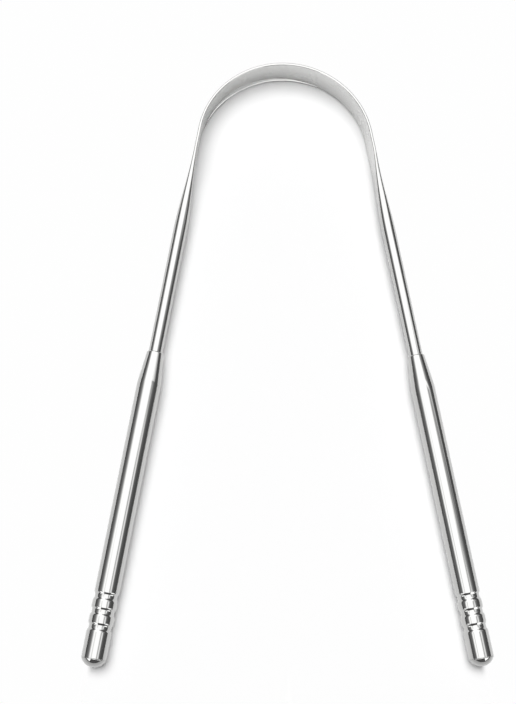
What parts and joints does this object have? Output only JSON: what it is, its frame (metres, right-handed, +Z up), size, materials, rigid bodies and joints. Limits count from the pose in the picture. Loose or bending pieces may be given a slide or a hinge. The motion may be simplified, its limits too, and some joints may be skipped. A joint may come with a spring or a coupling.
{
  "type": "tongue scraper",
  "caption": "All-steel U-shaped tongue scraper: a wire rolled flat into an arched scraping blade, with hollow grooved handles swaged onto its legs.",
  "frame": {"origin": "centre of the bounding box's bottom face, on the surface the tool lies on", "axes": "+Y from the handles to the arch, +X to the right handle, +Z up from the surface"},
  "size_m": [0.0948, 0.15, 0.0082],
  "materials": {
    "blade_steel": "polished stainless steel, satin on the flat blade",
    "handle_steel": "mirror-polished stainless steel",
    "inner_steel": "turned stainless steel, unpolished"
  },
  "bodies": {
    "root": {"blade_wire": "blade_steel", "left_handle_tube": "handle_steel", "right_handle_tube": "handle_steel", "left_end_plug": "handle_steel", "right_end_plug": "handle_steel", "left_wire_collar": "inner_steel", "right_wire_collar": "inner_steel"}
  },
  "joints": []
}
